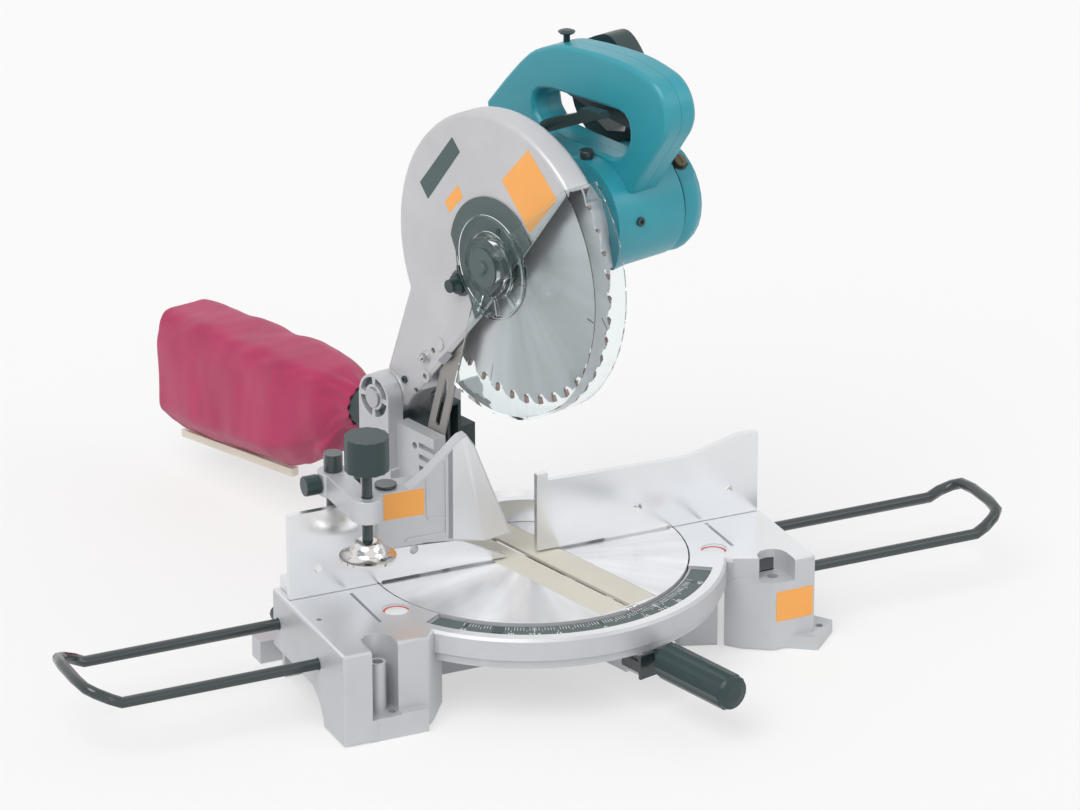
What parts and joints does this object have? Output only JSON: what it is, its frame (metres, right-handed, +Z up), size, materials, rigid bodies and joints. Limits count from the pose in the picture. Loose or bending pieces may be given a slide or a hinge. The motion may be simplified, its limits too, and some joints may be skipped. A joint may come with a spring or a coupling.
{
  "type": "compound mitre saw",
  "caption": "Bench mitre saw with a swinging motor head, turning and tilting blade, clear guard, dust bag, hold-down clamp and side work holders.",
  "frame": {"origin": "under the turntable's pivot, on the bench plane", "axes": "+X right along the fence, +Y to the back, +Z up; the fence's face is the plane y = 0"},
  "size_m": [0.8938, 0.7756, 0.5445],
  "materials": {
    "cast_aluminium": "satin",
    "machined_aluminium": "brushed",
    "teal_plastic": "satin",
    "black_plastic": "satin",
    "black_steel": "gloss",
    "dark_plate": "satin",
    "steel": "satin",
    "blade_steel": "polished",
    "plated_steel": "polished",
    "kerf_plastic": "satin",
    "clear_plastic": "clear",
    "rubber": "matte",
    "crimson_cloth": "matte",
    "cream_plastic": "satin",
    "copper_windings": "satin"
  },
  "bodies": {
    "base": {"base_casting": "cast_aluminium", "mitre_scale_plate": "dark_plate", "guide_fence": "machined_aluminium", "fence_bolt_left": "steel", "fence_bolt_right": "steel", "sub_fence_pin": "black_plastic", "mitre_pivot_bolt": "steel", "vise_rod": "black_steel"},
    "rod_lock": {"vise_rod_lock_screw": "black_plastic"},
    "holder_lock_l": {"holder_lock_left": "black_plastic"},
    "holder_lock_r": {"holder_lock_right": "black_plastic"},
    "sub_fence_body": {"sub_fence": "cast_aluminium"},
    "clamp_arm": {"vise_arm": "cast_aluminium"},
    "arm_lock": {"vise_arm_screw": "black_plastic"},
    "clamp_screw": {"vise_screw": "black_plastic", "vise_foot": "plated_steel"},
    "left_holder": {"work_holder_left": "black_steel"},
    "right_holder": {"work_holder_right": "black_steel"},
    "table": {"turntable": "machined_aluminium", "kerf_board_left": "kerf_plastic", "kerf_board_right": "kerf_plastic", "mitre_pointer": "clear_plastic", "lever_bracket": "black_steel", "bevel_pivot_bolt": "steel"},
    "grip": {"mitre_grip": "black_plastic"},
    "lock_lever": {"mitre_lock_lever": "black_plastic"},
    "tilt_arm": {"bevel_arm": "cast_aluminium", "head_pivot_rod": "steel", "return_spring": "steel", "dust_chute": "rubber", "dust_bag": "crimson_cloth", "dust_bag_rail": "cream_plastic"},
    "tilt_lever": {"bevel_lock_lever": "black_plastic"},
    "link": {"guard_link": "dark_plate"},
    "head": {"blade_case": "cast_aluminium", "centre_cover": "dark_plate", "centre_cover_bolt": "steel", "guard_retainer": "dark_plate", "gear_housing": "cast_aluminium", "spindle_bearing": "plated_steel", "armature_bearing": "plated_steel", "motor_housing": "teal_plastic", "stator": "copper_windings", "motor_end_cover": "teal_plastic", "brush_upper": "steel", "brush_lower": "steel", "handle_left": "teal_plastic", "handle_right": "teal_plastic", "trigger_switch": "black_plastic", "carrying_handle": "black_plastic"},
    "guard": {"blade_guard": "clear_plastic"},
    "blade_group": {"saw_blade": "blade_steel", "spindle": "steel", "inner_flange": "dark_plate", "outer_flange": "dark_plate", "blade_bolt": "steel"},
    "rotor": {"armature": "steel"},
    "trigger_body": {"trigger": "black_plastic"},
    "button": {"lock_off_button": "black_plastic"},
    "release": {"release_lever": "black_plastic"}
  },
  "joints": [
    {"name": "mitre_turn", "type": "hinge", "parent": "base", "child": "table", "pos_m": [0, 0, 0.086], "axis": [0, 0, 1], "range_deg": [-60, 30]},
    {"name": "bevel_tilt", "type": "hinge", "parent": "table", "child": "tilt_arm", "pos_m": [0, 0, 0.086], "axis": [-0.2588, 0.9659, 0], "range_deg": [-12, 0]},
    {"name": "head_swing", "type": "hinge", "parent": "tilt_arm", "child": "head", "pos_m": [-0.044, 0.16421, 0.192], "axis": [0.9659, 0.2588, 0], "range_deg": [0, 45.5], "stiffness_Nm_per_rad": 9, "springref_deg": -100.27, "deforming": ["return_spring"]},
    {"name": "guard_turn", "type": "hinge", "parent": "head", "child": "guard", "pos_m": [-0.00569, 0.02125, 0.36], "axis": [0.9659, 0.2588, 0], "range_deg": [-120, 0]},
    {"name": "link_swing", "type": "hinge", "parent": "tilt_arm", "child": "link", "pos_m": [-0.03054, 0.11398, 0.152], "axis": [0.9659, 0.2588, 0], "range_deg": [0, 45]},
    {"name": "blade_spin", "type": "hinge", "parent": "head", "child": "blade_group", "pos_m": [-0.00569, 0.02125, 0.36], "axis": [0.9659, 0.2588, 0], "continuous": true},
    {"name": "armature_spin", "type": "hinge", "parent": "head", "child": "rotor", "pos_m": [0.00311, -0.01159, 0.398], "axis": [0.9659, 0.2588, 0], "continuous": true},
    {"name": "trigger_pull", "type": "hinge", "parent": "head", "child": "trigger_body", "pos_m": [0.0702, 0.06643, 0.494], "axis": [0.9659, 0.2588, 0], "range_deg": [-8, 0], "stiffness_Nm_per_rad": 0.4},
    {"name": "lock_off_press", "type": "slide", "parent": "head", "child": "button", "axis": [0, 0, -1], "range_m": [0, 0.004], "stiffness_N_per_m": 300},
    {"name": "release_pull", "type": "hinge", "parent": "head", "child": "release", "pos_m": [0.04426, 0.0512, 0.466], "axis": [0.9659, 0.2588, 0], "range_deg": [0, 12], "stiffness_Nm_per_rad": 0.4},
    {"name": "grip_turn", "type": "hinge", "parent": "table", "child": "grip", "pos_m": [0.05953, -0.22216, 0.052], "axis": [-0.2588, 0.9659, 0], "continuous": true},
    {"name": "lock_lever_press", "type": "hinge", "parent": "table", "child": "lock_lever", "pos_m": [0.05745, -0.15025, 0.0515], "axis": [-0.2588, 0.9659, 0], "range_deg": [0, 12], "stiffness_Nm_per_rad": 0.05},
    {"name": "bevel_lever_turn", "type": "hinge", "parent": "tilt_arm", "child": "tilt_lever", "pos_m": [-0.05125, 0.19125, 0.086], "axis": [-0.2588, 0.9659, 0], "range_deg": [-30, 30]},
    {"name": "sub_fence_flip", "type": "hinge", "parent": "base", "child": "sub_fence_body", "pos_m": [-0.129, 0.015, 0.086], "axis": [0, 0, -1], "range_deg": [-30, 0]},
    {"name": "clamp_swing", "type": "hinge", "parent": "base", "child": "clamp_arm", "pos_m": [-0.174, 0.025, 0.18], "axis": [0, 0, 1], "range_deg": [-35, 25]},
    {"name": "clamp_press", "type": "slide", "parent": "clamp_arm", "child": "clamp_screw", "axis": [0, 0, 1], "range_m": [-0.025, 0.015]},
    {"name": "left_holder_slide", "type": "slide", "parent": "base", "child": "left_holder", "axis": [1, 0, 0], "range_m": [-0.03, 0.12]},
    {"name": "right_holder_slide", "type": "slide", "parent": "base", "child": "right_holder", "axis": [-1, 0, 0], "range_m": [-0.03, 0.12]},
    {"name": "rod_lock_turn", "type": "hinge", "parent": "base", "child": "rod_lock", "pos_m": [-0.174, 0.05, 0.098], "axis": [0, 1, 0], "continuous": true},
    {"name": "arm_lock_turn", "type": "hinge", "parent": "clamp_arm", "child": "arm_lock", "pos_m": [-0.195, 0.025, 0.1795], "axis": [1, 0, 0], "continuous": true},
    {"name": "holder_lock_left_turn", "type": "hinge", "parent": "base", "child": "holder_lock_l", "pos_m": [-0.222, 0.036, 0.057], "axis": [0, 1, 0], "continuous": true},
    {"name": "holder_lock_right_turn", "type": "hinge", "parent": "base", "child": "holder_lock_r", "pos_m": [0.222, 0.036, 0.057], "axis": [0, 1, 0], "continuous": true}
  ],
  "couplings": [
    {"joint": "guard_turn", "follows": "head_swing", "ratio": -2.55},
    {"joint": "link_swing", "follows": "head_swing", "ratio": 0.9},
    {"joint": "armature_spin", "follows": "blade_spin", "ratio": -3.6}
  ]
}
